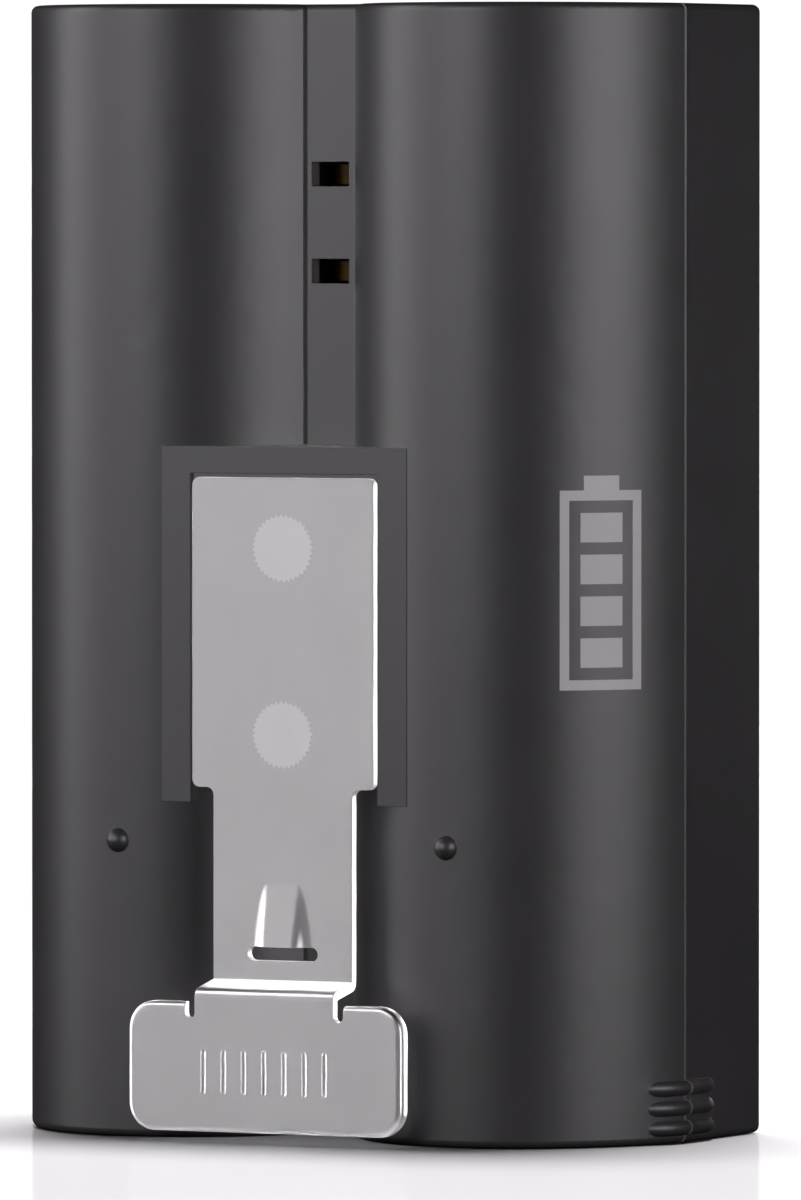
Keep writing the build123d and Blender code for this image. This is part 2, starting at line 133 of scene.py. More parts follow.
def finish_piece(made):
    """Keeps flat faces flat in shading, parts it at sharp edges, and scales the piece to metres."""
    made.data.set_sharp_from_angle(angle=math.radians(SHARP_ANGLE))
    weigh = made.modifiers.new("weigh_normals", "WEIGHTED_NORMAL")
    weigh.keep_sharp = True
    weigh.weight = 100
    apply_modifiers(made)
    made.data.transform(Matrix.Scale(MM, 4))


def stack_rings(bm, rings):
    """Joins rings of as many points each with side faces, and closes both ends."""
    made = [[bm.verts.new(p) for p in ring] for ring in rings]
    for one, other in zip(made, made[1:]):
        for i in range(len(one)):
            bm.faces.new((one[i - 1], one[i], other[i], other[i - 1]))
    bm.faces.new(made[0])
    bm.faces.new(list(reversed(made[-1])))


# ---------------------------------------------------------------- the latch
# One strip of spring steel. It is drawn unbent, with X across it and s up it, and then folded.
# On the plate and the stem s is the height Z.

SHOULDER_HEIGHT = 21.75
STEM_HALF_WIDTH = 4.82
PLATE_CORNER = 0.5
LEDGE_REAR_HEIGHT = 9.69
LEDGE_FRONT_HEIGHT = 9.16
BEND_RADIUS = 0.35
BEND_STEPS = 10
TAB_TOP = 8.62
TAB_CORNER = 1.7
TAB_EDGE_RADIUS = 0.42
TAB_EDGE_STEPS = 7
TAB_RIM_WIDTH = 0.55
TAB_RIM_INNER = 0.67
TAB_RIM_DEPTH = 0.3
TAB_RIM_START = 5.7
TAB_RIM_FULL = 6.5
TAB_RIM_STEPS = 4
TAB_BACK_EDGE = 0.06
RELIEF_RADIUS = 0.33
RELIEF_HEIGHT = 7.95
FLEX_LENGTH = 1.8
FLEX_STEPS = 12
CATCH_BOTTOM = 12.0
CATCH_TOP = 15.95
CATCH_ROWS = 16
CATCH_RISE = 0.77
CATCH_BASE_HALF = 1.98
CATCH_FLAT_HALF_TOP = 0.97
CATCH_FLAT_HALF_BOTTOM = 0.84
CATCH_LEAST_FLANK = 0.06
CATCH_FLANK_STEPS = 12
CATCH_FLANK_SHARPNESS = 3.1
SLOT_HALF_WIDTH = 2.43
SLOT_HEIGHT = 0.87
SHEET_EDGE = 0.045
GRIP_COUNT = 7
GRIP_PITCH = 1.4
GRIP_LENGTH = 2.8
GRIP_HEIGHT = 4.35
GRIP_RADIUS = 0.2
GRIP_DEPTH = 0.11
GRIP_SIDES = 24
GRIP_END_RINGS = 6
STUD_HEIGHTS = (25.05, 36.5)
STUD_TEETH = 36
STUD_TOOTH_DEPTH = 0.2
STUD_HEAD_THICKNESS = 0.35
STUD_SHANK_RADIUS = 1.0
STUD_SHANK_CHAMFER = 0.1
STUD_PROUD = 0.02
STUD_FIT = 0.01

steel = plate_high.y - plate_low.y
half_steel = steel / 2
sheet_middle_y = plate_low.y + half_steel
ledge_reach = plate_low.y - arm_low.y
ledge_drop = LEDGE_REAR_HEIGHT - LEDGE_FRONT_HEIGHT
bend_angle = math.atan2(ledge_reach, ledge_drop)
bend_cut = BEND_RADIUS * math.tan(bend_angle / 2)
bend_length = BEND_RADIUS * bend_angle
ledge_length = math.hypot(ledge_reach, ledge_drop) - 2 * bend_cut
bend_start = LEDGE_REAR_HEIGHT + bend_cut
tab_start = bend_start - 2 * bend_length - ledge_length
tab_shift = tab_start - (LEDGE_FRONT_HEIGHT - bend_cut)
flex_height = (plate_low.z + arm_high.z) / 2
slot_radius = SLOT_HEIGHT / 2
catch_border = SLOT_HALF_WIDTH - slot_radius


def fold(x, s, offset):
    """Where a point of the unbent strip goes: offset is its distance in front of the sheet's middle."""
    run = bend_start - s
    first = min(max(run, 0), bend_length)
    flat = min(max(run - bend_length, 0), ledge_length)
    last = min(max(run - bend_length - ledge_length, 0), bend_length)
    straight = s - bend_start if run < 0 else min(s - tab_start, 0)
    end_angle = bend_angle - last / BEND_RADIUS
    forward = BEND_RADIUS * (1 - math.cos(first / BEND_RADIUS)) + flat * math.sin(bend_angle)
    forward += BEND_RADIUS * (math.cos(end_angle) - math.cos(bend_angle))
    down = BEND_RADIUS * math.sin(first / BEND_RADIUS) + flat * math.cos(bend_angle)
    down += BEND_RADIUS * (math.sin(bend_angle) - math.sin(end_angle))
    tilt = (first - last) / BEND_RADIUS
    y = sheet_middle_y - forward - offset * math.cos(tilt)
    z = bend_start + straight - down + offset * math.sin(tilt)
    return x, y, z


def tab_border():
    """The right half of the tab's outline, with the way in from it at each point."""
    half_width, bottom, r = arm_high.x, arm_low.z, TAB_CORNER
    start_x = STEM_HALF_WIDTH + 2 * RELIEF_RADIUS
    top_points = [start_x, (start_x + TAB_RIM_START) / 2, TAB_RIM_START]
    turned = TAB_RIM_FULL - TAB_RIM_START
    top_points += [TAB_RIM_START + turned * i / TAB_RIM_STEPS for i in range(1, TAB_RIM_STEPS + 1)]
    border = [((x, TAB_TOP), (0, -1)) for x in top_points]
    for centre_z, start, end in ((TAB_TOP - r, 90, 0), (bottom + r, 0, -90)):
        ways_in = arc(0, 0, -1, start, end)
        border += list(zip(arc(half_width - r, centre_z, r, start, end), ways_in))
    return border + [((0, bottom), (0, 1))]


def tab_edge_depth(distance):
    """How far the tab's front has dropped back at a distance from its outline."""
    across = max(TAB_EDGE_RADIUS - distance, 0)
    return TAB_EDGE_RADIUS - math.sqrt(TAB_EDGE_RADIUS**2 - across**2)


def tab_rim_depth(x, z, distance):
    """How far the turned-back rim stands behind the sheet."""
    along = smooth_step(x, TAB_RIM_START, TAB_RIM_FULL) if z > TAB_TOP - TAB_CORNER else 1
    across = 1 - smooth_step(distance, TAB_RIM_WIDTH, TAB_RIM_INNER)
    rounded = max(TAB_BACK_EDGE - distance, 0)
    edge = TAB_BACK_EDGE - math.sqrt(TAB_BACK_EDGE**2 - rounded**2)
    return TAB_RIM_DEPTH * along * across - edge


def tab_rim():
    """Rows of (x, s, front, back) around the tab, from its outline inwards."""
    step = math.pi / 2 / TAB_EDGE_STEPS
    distances = [TAB_EDGE_RADIUS * (1 - math.cos(step * i)) for i in range(TAB_EDGE_STEPS + 1)]
    rows = []
    for distance in distances + [TAB_RIM_WIDTH, TAB_RIM_INNER]:
        row = []
        for (x, z), (in_x, in_z) in tab_border():
            front = half_steel - tab_edge_depth(distance)
            back = -half_steel - tab_rim_depth(x, z, distance)
            row.append((x + in_x * distance, z + in_z * distance + tab_shift, front, back))
        rows.append(row)
    return rows


def catch_patch():
    """Rows of (x, s, front, back) over the right half of the catch, from its mouth upwards."""
    rows = []
    for j in range(CATCH_ROWS + 1):
        t = 1 - j / CATCH_ROWS
        flat_half = CATCH_FLAT_HALF_TOP + (CATCH_FLAT_HALF_BOTTOM - CATCH_FLAT_HALF_TOP) * t
        reach = CATCH_BASE_HALF - flat_half - CATCH_LEAST_FLANK
        flank = CATCH_LEAST_FLANK + reach * math.sqrt(1 - (1 - t) ** 2)
        s = CATCH_TOP - (CATCH_TOP - CATCH_BOTTOM) * t
        row = []
        for x in (0, flat_half / 2):
            row.append((x, s, half_steel + CATCH_RISE * t, CATCH_RISE * t - half_steel))
        for i in range(CATCH_FLANK_STEPS + 1):
            w = i / CATCH_FLANK_STEPS
            bend = math.tanh(CATCH_FLANK_SHARPNESS * (w - 0.5)) / math.tanh(CATCH_FLANK_SHARPNESS / 2)
            rise = CATCH_RISE * t * (1 - bend) / 2
            row.append((flat_half + flank * w, s, half_steel + rise, rise - half_steel))
        row.append((catch_border, s, half_steel, -half_steel))
        rows.append(row)
    return rows


def flat_outline(rim_rows, catch_rows):
    """The right half of the unbent strip between the rim and the catch, as (x, s) points."""
    c, r = PLATE_CORNER, RELIEF_RADIUS
    half_width = plate_high.x
    points = [(0, plate_high.z)]
    points += arc(half_width - c, plate_high.z - c, c, 90, 0)
    points += arc(half_width - c, SHOULDER_HEIGHT + c, c, 0, -90)
    points += arc(STEM_HALF_WIDTH + c, SHOULDER_HEIGHT - c, c, 90, 180)
    points += arc(STEM_HALF_WIDTH + r, RELIEF_HEIGHT + tab_shift, r, 180, 360)
    points += [(x, s) for x, s, front, back in rim_rows[-1]]
    points += [(0, CATCH_BOTTOM - SLOT_HEIGHT)]
    points += arc(catch_border, CATCH_BOTTOM - slot_radius, slot_radius, -90, 90)
    points += [(catch_border, row[-1][1]) for row in catch_rows[1:]]
    points += [(x, s) for x, s, front, back in reversed(catch_rows[-1][:-1])]
    return points


def unbent_half():
    """The right half of the unbent strip, flat.

    Each point knows how far its front and back stand from the sheet's middle, and the points on the
    tab's outline are marked, because the rim's own rows already round that edge.
    """
    flat = bmesh.new()
    front_layer = flat.verts.layers.float.new("front")
    back_layer = flat.verts.layers.float.new("back")
    outer_layer = flat.verts.layers.float.new("outer")

    def add_point(x, s, front, back, outer=0.0):
        point = flat.verts.new((x, s, 0))
        point[front_layer], point[back_layer], point[outer_layer] = front, back, outer
        return point

    rim_rows, catch_rows = tab_rim(), catch_patch()
    outline = flat_outline(rim_rows, catch_rows)
    flat.faces.new([add_point(x, s, half_steel, -half_steel) for x, s in outline])
    cuts = [bend_start - bend_length * i / BEND_STEPS for i in range(BEND_STEPS + 1)]
    cuts += [tab_start + bend_length * i / BEND_STEPS for i in range(BEND_STEPS + 1)]
    cuts += [flex_height + FLEX_LENGTH * (i / FLEX_STEPS - 0.5) for i in range(FLEX_STEPS + 1)]
    for s in cuts:
        everything = flat.verts[:] + flat.edges[:] + flat.faces[:]
        bmesh.ops.bisect_plane(flat, geom=everything, plane_co=(0, s, 0), plane_no=(0, 1, 0), dist=1e-6)
    for rows, outer in ((rim_rows, 1.0), (catch_rows, 0.0)):
        grid = [[add_point(*p, outer) for p in rows[0]]]
        grid += [[add_point(*p) for p in row] for row in rows[1:]]
        for one, other in zip(grid, grid[1:]):
            for i in range(1, len(one)):
                flat.faces.new((one[i - 1], one[i], other[i], other[i - 1]))
    return flat


def make_strip():
    """The whole latch: both halves joined, folded and given their thickness."""
    flat = unbent_half()
    copied = bmesh.ops.duplicate(flat, geom=flat.verts[:] + flat.edges[:] + flat.faces[:])["geom"]
    for part in copied:
        if isinstance(part, bmesh.types.BMVert):
            part.co.x = -part.co.x
    bmesh.ops.remove_doubles(flat, verts=flat.verts, dist=SAME_POINT)
    bmesh.ops.recalc_face_normals(flat, faces=flat.faces)
    front_layer = flat.verts.layers.float["front"]
    back_layer = flat.verts.layers.float["back"]
    outer_layer = flat.verts.layers.float["outer"]
    solid = bmesh.new()
    weight = solid.edges.layers.float.new("bevel_weight_edge")
    fronts = {v: solid.verts.new(fold(v.co.x, v.co.y, v[front_layer])) for v in flat.verts}
    backs = {v: solid.verts.new(fold(v.co.x, v.co.y, v[back_layer])) for v in flat.verts}
    for face in flat.faces:
        solid.faces.new([fronts[v] for v in face.verts])
        solid.faces.new([backs[v] for v in reversed(face.verts)])
    for edge in flat.edges:
        if edge.is_boundary:
            a, b = edge.verts
            solid.faces.new((fronts[a], fronts[b], backs[b], backs[a]))
            if not (a[outer_layer] > 0.5 and b[outer_layer] > 0.5):
                solid.edges.get((fronts[a], fronts[b]))[weight] = 1
                solid.edges.get((backs[a], backs[b]))[weight] = 1
    flat.free()
    return mesh_from(solid, "latch_strip")


def stud_outline(height, scale, y):
    """A stud's serrated outline, as points at a depth y."""
    points = []
    for i in range(2 * STUD_TEETH):
        radius = (studs_high.x - STUD_TOOTH_DEPTH * (i % 2)) * scale
        angle = math.pi * (i + 0.5) / STUD_TEETH
        points.append((radius * math.cos(angle), y, height + radius * math.sin(angle)))
    return points


def stud_circle(height, radius, y):
    """A circle with as many points as a stud's outline."""
    angles = [math.pi * (i + 0.5) / STUD_TEETH for i in range(2 * STUD_TEETH)]
    return [(radius * math.cos(a), y, height + radius * math.sin(a)) for a in angles]


def make_stud_cutter():
    """What the studs' heads and shanks take out of the strip."""
    bm = bmesh.new()
    under_head = plate_low.y + STUD_HEAD_THICKNESS
    shank = STUD_SHANK_RADIUS + STUD_FIT
    fit = 1 + STUD_FIT / studs_high.x
    for height in STUD_HEIGHTS:
        rings = [stud_outline(height, fit, plate_low.y - steel), stud_outline(height, fit, under_head)]
        rings += [stud_circle(height, shank, under_head), stud_circle(height, shank, plate_high.y + steel)]
        stack_rings(bm, rings)
    return mesh_from(bm, "stud_cutter")


def make_grip_cutter():
    """Round-ended grooves side by side, pressed into the tab where the thumb goes."""
    bm = bmesh.new()
    y = arm_low.y - GRIP_RADIUS + GRIP_DEPTH
    half_straight = GRIP_LENGTH / 2 - GRIP_RADIUS
    last_side = 360 - 360 / GRIP_SIDES
    rising = [math.pi / 2 * (k + 0.5) / GRIP_END_RINGS for k in range(GRIP_END_RINGS)]
    for i in range(GRIP_COUNT):
        x = (i - (GRIP_COUNT - 1) / 2) * GRIP_PITCH
        rings = []
        for side, angles in ((-1, reversed(rising)), (1, rising)):
            for angle in angles:
                radius = GRIP_RADIUS * math.cos(angle)
                z = GRIP_HEIGHT + side * (half_straight + GRIP_RADIUS * math.sin(angle))
                circle = arc(0, 0, radius, 0, last_side, GRIP_SIDES - 1)
                rings.append([(x + a, y + b, z) for a, b in circle])
        stack_rings(bm, rings)
    return mesh_from(bm, "grip_cutter")


def make_latch():
    """The spring-steel latch, which bends from the case's plate to the moving arm."""
    latch = add_object("latch_strip", make_strip())
    edge = latch.modifiers.new("edge", "BEVEL")
    edge.limit_method = "WEIGHT"
    edge.width = SHEET_EDGE
    edge.segments = 2
    edge.use_clamp_overlap = False
    apply_modifiers(latch)
    carve(latch, make_stud_cutter())
    carve(latch, make_grip_cutter())
    finish_piece(latch)
    half_flex = FLEX_LENGTH / 2
    start = Vector((0, sheet_middle_y, flex_height + half_flex)) * MM
    end = Vector((0, sheet_middle_y, flex_height - half_flex)) * MM
    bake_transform(latch, "case", "latch", start=start, end=end)
    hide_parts("latch_plate", "latch_arm")
    return latch


def make_studs():
    """The two serrated studs that hold the latch."""
    bm = bmesh.new()
    front, under_head, end = plate_low.y, plate_low.y + STUD_HEAD_THICKNESS, studs_high.y
    for height in STUD_HEIGHTS:
        rings = [stud_outline(height, 1 - STUD_PROUD / studs_high.x, front - STUD_PROUD)]
        rings += [stud_outline(height, 1, front), stud_outline(height, 1, under_head)]
        rings += [stud_circle(height, STUD_SHANK_RADIUS, under_head)]
        rings += [stud_circle(height, STUD_SHANK_RADIUS, end - STUD_SHANK_CHAMFER)]
        rings += [stud_circle(height, STUD_SHANK_RADIUS - STUD_SHANK_CHAMFER, end)]
        stack_rings(bm, rings)
    studs = add_object("stud_heads", mesh_from(bm, "stud_heads"))
    finish_piece(studs)
    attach(studs, "case")
    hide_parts("latch_studs")
    return studs


# ---------------------------------------------------------------- the printed pictogram
# An upright battery with charge bars, printed on the right lobe.

FRONT_LOBE_HALF_WIDTH = 11.39
FRONT_LOBE_HALF_DEPTH = 13.9
FRONT_LOBE_CENTRE_Y = 3.25
PRINT_THICKNESS = 0.015
PRINT_CENTRE_ANGLE = 42.5
PRINT_CENTRE_HEIGHT = 34.1
PRINT_WIDTH = 5.6
PRINT_HEIGHT = 12.2
PRINT_LINE = 0.62
PRINT_BARS = 4
PRINT_GAP = 0.75
PRINT_TERMINAL_WIDTH = 2.4
PRINT_TERMINAL_HEIGHT = 0.9
PRINT_STEP = 0.4


def lobe_point(angle, proud):
    """A point over the right lobe, at an angle around it from its side towards the front."""
    a = math.radians(angle)
    across = Vector((math.cos(a) / FRONT_LOBE_HALF_WIDTH, -math.sin(a) / FRONT_LOBE_HALF_DEPTH))
    outward = across.normalized() * proud
    x = FRONT_LOBE_HALF_WIDTH * (1 + math.cos(a)) + outward.x
    y = FRONT_LOBE_CENTRE_Y - FRONT_LOBE_HALF_DEPTH * math.sin(a) + outward.y
    return x, y


def print_rectangle(bm, left, right, bottom, top):
    """A thin patch of ink wrapped on the lobe. Left and right are lengths from the print's middle."""
    columns = max(1, math.ceil((right - left) / PRINT_STEP))
    a = math.radians(PRINT_CENTRE_ANGLE)
    stretch = math.hypot(FRONT_LOBE_HALF_WIDTH * math.sin(a), FRONT_LOBE_HALF_DEPTH * math.cos(a))
    rings = []
    for i in range(columns + 1):
        offset = left + (right - left) * i / columns
        angle = PRINT_CENTRE_ANGLE - math.degrees(offset / stretch)
        sunk, proud = lobe_point(angle, -PRINT_THICKNESS), lobe_point(angle, PRINT_THICKNESS)
        corners = ((sunk, bottom), (sunk, top), (proud, top), (proud, bottom))
        rings.append([(*place, z) for place, z in corners])
    stack_rings(bm, rings)


def make_pictogram():
    """The printed battery: an outline, a terminal and its charge bars."""
    bm = bmesh.new()
    half = PRINT_WIDTH / 2
    low = PRINT_CENTRE_HEIGHT - PRINT_HEIGHT / 2
    high = PRINT_CENTRE_HEIGHT + PRINT_HEIGHT / 2
    inner_low, inner_high = low + PRINT_LINE, high - PRINT_LINE
    print_rectangle(bm, -half, half, low, inner_low)
    print_rectangle(bm, -half, half, inner_high, high)
    print_rectangle(bm, -half, PRINT_LINE - half, inner_low, inner_high)
    print_rectangle(bm, half - PRINT_LINE, half, inner_low, inner_high)
    terminal_half = PRINT_TERMINAL_WIDTH / 2
    print_rectangle(bm, -terminal_half, terminal_half, high, high + PRINT_TERMINAL_HEIGHT)
    bar_half = half - PRINT_LINE - PRINT_GAP
    pitch = (inner_high - inner_low - PRINT_GAP) / PRINT_BARS
    for i in range(PRINT_BARS):
        bottom = inner_low + PRINT_GAP + i * pitch
        print_rectangle(bm, -bar_half, bar_half, bottom, bottom + pitch - PRINT_GAP)
    pictogram = add_object("printed_pictogram", mesh_from(bm, "printed_pictogram"))
    finish_piece(pictogram)
    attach(pictogram, "case")
    return pictogram


# ---------------------------------------------------------------- materials

NOISE_LOW = 0.3
NOISE_HIGH = 0.7
BROAD_GRAINS = 60
ROUGHNESS_SPREAD = 0.015
CASE_COLOR = (0.0205, 0.0193, 0.0207)
CASE_ROUGHNESS = 0.42
CASE_ROUGHNESS_SPREAD = 0.012
CASE_EDGE = 0.06
CASE_GRAIN = 0.11
CASE_GRAIN_DEPTH = 0.0035
CASE_PATCH = 7.0
METAL_PATCH = 4.0


class Look:
    """A node material being made: a shader, and texture nodes on the object's own coordinates."""

    def __init__(self, name, roughness, metallic=0.0, **constants):
        self.material = bpy.data.materials.new(name)
        self.material.use_nodes = True
        self.tree = self.material.node_tree
        self.shader = self.tree.nodes["Principled BSDF"]
        self.place = self.tree.nodes.new("ShaderNodeTexCoord").outputs["Object"]
        self.normal = None
        constants = {"Roughness": roughness, "Metallic": metallic, **constants}
        for socket, value in constants.items():
            self.shader.inputs[socket.replace("_", " ")].default_value = value

    def link(self, source, target):
        """Joins two sockets."""
        self.tree.links.new(source, target)

    def noise(self, size, detail=2.0, stretch=(1, 1, 1)):
        """Noise with grains of a size in millimetres, longer where stretch is over 1."""
        mapping = self.tree.nodes.new("ShaderNodeMapping")
        mapping.inputs["Scale"].default_value = [1 / (size * MM * s) for s in stretch]
        texture = self.tree.nodes.new("ShaderNodeTexNoise")
        texture.inputs["Scale"].default_value = 1.0
        texture.inputs["Detail"].default_value = detail
        self.link(self.place, mapping.inputs["Vector"])
        self.link(mapping.outputs["Vector"], texture.inputs["Vector"])
        return texture.outputs["Fac"]

    def vary_roughness(self, factor, middle, spread):
        """Drives the roughness from a noise texture, around a middle value."""
        node = self.tree.nodes.new("ShaderNodeMapRange")
        node.inputs["From Min"].default_value = NOISE_LOW
        node.inputs["From Max"].default_value = NOISE_HIGH
        node.inputs["To Min"].default_value = middle - spread
        node.inputs["To Max"].default_value = middle + spread
        self.link(factor, node.inputs["Value"])
        self.link(node.outputs["Result"], self.shader.inputs["Roughness"])

    def color(self, color, factor, variation):
        """Sets the colour, made darker and lighter by a texture."""
        ramp = self.tree.nodes.new("ShaderNodeValToRGB")
        ramp.color_ramp.elements[0].position = NOISE_LOW
        ramp.color_ramp.elements[1].position = NOISE_HIGH
        for element, sign in zip(ramp.color_ramp.elements, (-1, 1)):
            element.color = (*[min(c * (1 + sign * variation), 1) for c in color], 1)
        self.link(factor, ramp.inputs["Fac"])
        self.link(ramp.outputs["Color"], self.shader.inputs["Base Color"])

    def bump(self, factor, depth):
        """Raises the surface by a texture, up to a depth in millimetres."""
        node = self.tree.nodes.new("ShaderNodeBump")
        node.inputs["Distance"].default_value = depth * MM
        node.inputs["Strength"].default_value = 1.0
        self.link(factor, node.inputs["Height"])
        if self.normal:
            self.link(self.normal, node.inputs["Normal"])
        self.normal = node.outputs["Normal"]
        self.link(self.normal, self.shader.inputs["Normal"])

    def round_edges(self, radius):
        """Softens the look of the CAD model's sharp edges."""
        node = self.tree.nodes.new("ShaderNodeBevel")
        node.samples = 4
        node.inputs["Radius"].default_value = radius * MM
        self.normal = node.outputs["Normal"]


def moulded(name, color, roughness, grain=0.12, depth=0.004, **constants):
    """Moulded plastic with a fine spark-eroded grain."""
    look = Look(name, roughness, **constants)
    fine = look.noise(grain, detail=3.0)
    broad = look.noise(BROAD_GRAINS * grain)
    look.color(color, broad, variation=0.05)
    look.vary_roughness(broad, roughness, ROUGHNESS_SPREAD)
    look.bump(fine, depth)
    return look.material


def rolled(name, color, roughness, stretch=(1, 1, 14), grain=0.05, depth=0.00015, **constants):
    """Rolled or drawn metal with fine lines along its length."""
    look = Look(name, roughness, 1.0, **constants)
    lines = look.noise(grain, detail=3.0, stretch=stretch)
    look.color(color, look.noise(METAL_PATCH), variation=0.02)
    look.vary_roughness(lines, roughness, ROUGHNESS_SPREAD)
    look.bump(lines, depth)
    return look.material


def case_look():
    """Satin black moulding of the two case shells."""
    look = Look("case_plastic", CASE_ROUGHNESS)
    look.round_edges(CASE_EDGE)
    fine = look.noise(CASE_GRAIN, detail=3.0)
    broad = look.noise(CASE_PATCH)
    look.color(CASE_COLOR, broad, variation=0.04)
    look.vary_roughness(broad, CASE_ROUGHNESS, CASE_ROUGHNESS_SPREAD)
    look.bump(fine, CASE_GRAIN_DEPTH)
    return look.material


looks = {
    "case_plastic": case_look(),
    "label_film": moulded("label_film", (0.014, 0.014, 0.015), 0.55, grain=0.25, depth=0.002),
    "spring_steel": rolled("spring_steel", (0.612, 0.611, 0.617), 0.3),
    "stud_steel": rolled("stud_steel", (0.78, 0.777, 0.795), 0.34, stretch=(1, 1, 1), grain=0.12),
    "cell_steel": rolled("cell_steel", (0.66, 0.66, 0.67), 0.28, stretch=(1, 1, 9)),
    "cell_sleeve": moulded("cell_sleeve", (0.03, 0.12, 0.35), 0.28, grain=0.9, depth=0.006),
    "insulating_paper": moulded("insulating_paper", (0.72, 0.69, 0.6), 0.85, grain=0.2, depth=0.01),
    "nickel": rolled("nickel", (0.72, 0.7, 0.65), 0.25, stretch=(10, 1, 1)),
    "board_laminate": moulded("board_laminate", (0.01, 0.09, 0.03), 0.35, grain=0.5, depth=0.004),
    "chip_black": moulded("chip_black", (0.012, 0.012, 0.012), 0.5, grain=0.08, depth=0.004),
    "capacitor_tan": moulded("capacitor_tan", (0.32, 0.2, 0.09), 0.6, grain=0.1, depth=0.003),
    "port_tongue": moulded("port_tongue", (0.015, 0.015, 0.016), 0.45, grain=0.1),
    "light_pipe": moulded("light_pipe", (0.82, 0.84, 0.85), 0.15, depth=0.001, Transmission_Weight=0.85),
    "led_white": moulded("led_white", (0.85, 0.85, 0.74), 0.3, grain=0.05, depth=0.002),
    "contact_gold": rolled("contact_gold", (0.9, 0.62, 0.22), 0.2, stretch=(8, 1, 1)),
    "thermistor_epoxy": moulded("thermistor_epoxy", (0.02, 0.02, 0.025), 0.2, grain=0.3),
    "foam_black": moulded("foam_black", (0.018, 0.018, 0.018), 0.95, grain=0.3, depth=0.06),
    "print_ink": moulded("print_ink", (0.3, 0.292, 0.305), 0.5, grain=0.09, depth=0.003),
}

for name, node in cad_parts.items():
    for slot in node.material_slots:
        slot.material = looks[slot.material.name.split(".")[0]]

latch = make_latch()
studs = make_studs()
pictogram = make_pictogram()
for piece, slot_name in ((latch, "spring_steel"), (studs, "stud_steel"), (pictogram, "print_ink")):
    piece.data.materials.clear()
    piece.data.materials.append(looks[slot_name])

# ---------------------------------------------------------------- the view
# The camera stands right of the front, level with the case's upper part.

VIEW_AZIMUTH = math.radians(27.37)
VIEW_PITCH = math.radians(1.725)
VIEW_DISTANCE = 865.5 * MM
VIEW_SIDESTEP = 2.46 * MM
VIEW_HEIGHT = 59.13 * MM
LENS = 418.3
CLIP_START = 50 * MM
CLIP_END = 50000 * MM


def make_camera():
    """The camera of the photograph."""
    camera = add_object("camera", bpy.data.cameras.new("camera"))
    forward = Vector((-math.sin(VIEW_AZIMUTH), math.cos(VIEW_AZIMUTH), 0))
    right = Vector((math.cos(VIEW_AZIMUTH), math.sin(VIEW_AZIMUTH), 0))
    camera.location = right * VIEW_SIDESTEP - forward * VIEW_DISTANCE + Vector((0, 0, VIEW_HEIGHT))
    aim = forward * math.cos(VIEW_PITCH) - Vector((0, 0, math.sin(VIEW_PITCH)))
    camera.rotation_mode = "QUATERNION"
    camera.rotation_quaternion = aim.to_track_quat("-Z", "Y")
    camera.data.lens = LENS
    camera.data.clip_start = CLIP_START
    camera.data.clip_end = CLIP_END
    return camera


scene.camera = make_camera()
scene.view_settings.view_transform = "Standard"

# ---------------------------------------------------------------- the studio
# The room is white to the camera and dark to the object, so only the panels light it.

ROOM_BRIGHTNESS = 1.05
FLOOR_HALF = 900
FLOOR_GAP = 0.02
FLOOR_WHITE = (0.9, 0.9, 0.9, 1)
FLOOR_GLOSS = 0.15
FLOOR_ROUGHNESS = 0.12
FLOOR_FADE_START = 130
FLOOR_FADE_END = 400
PANEL_COLOR = (1, 0.967, 1)
PANEL_DISTANCE = 450
BACKDROP_DISTANCE = 2500
BELOW_SIZE = (1975, 2000)
BELOW_PLACE = Vector((0, 0, -450))
BELOW_RADIANCE = 0.8
OVERHEAD_SIZE = (1100, 650)
OVERHEAD_PLACE = Vector((0, 450, 3000))
OVERHEAD_RADIANCE = 43.5
UP = Vector((0, 0, 1))
INSIDE_SHARE = 0.02


def make_room():
    """The world around the scene: white to the camera, black to everything else."""
    world = bpy.data.worlds.new("studio")
    world.use_nodes = True
    tree = world.node_tree
    dark = tree.nodes["Background"]
    dark.inputs["Color"].default_value = (0, 0, 0, 1)
    white = tree.nodes.new("ShaderNodeBackground")
    white.inputs["Color"].default_value = (1, 1, 1, 1)
    white.inputs["Strength"].default_value = ROOM_BRIGHTNESS
    light_path = tree.nodes.new("ShaderNodeLightPath")
    room = tree.nodes.new("ShaderNodeMixShader")
    tree.links.new(light_path.outputs["Is Camera Ray"], room.inputs["Fac"])
    tree.links.new(dark.outputs["Background"], room.inputs[1])
    tree.links.new(white.outputs["Background"], room.inputs[2])
    tree.links.new(room.outputs["Shader"], tree.nodes["World Output"].inputs["Surface"])
    return world


def group_of(name, objects):
    """A collection of objects for lights to be linked to."""
    group = bpy.data.collections.new(name)
    for o in objects:
        group.objects.link(o)
    return group


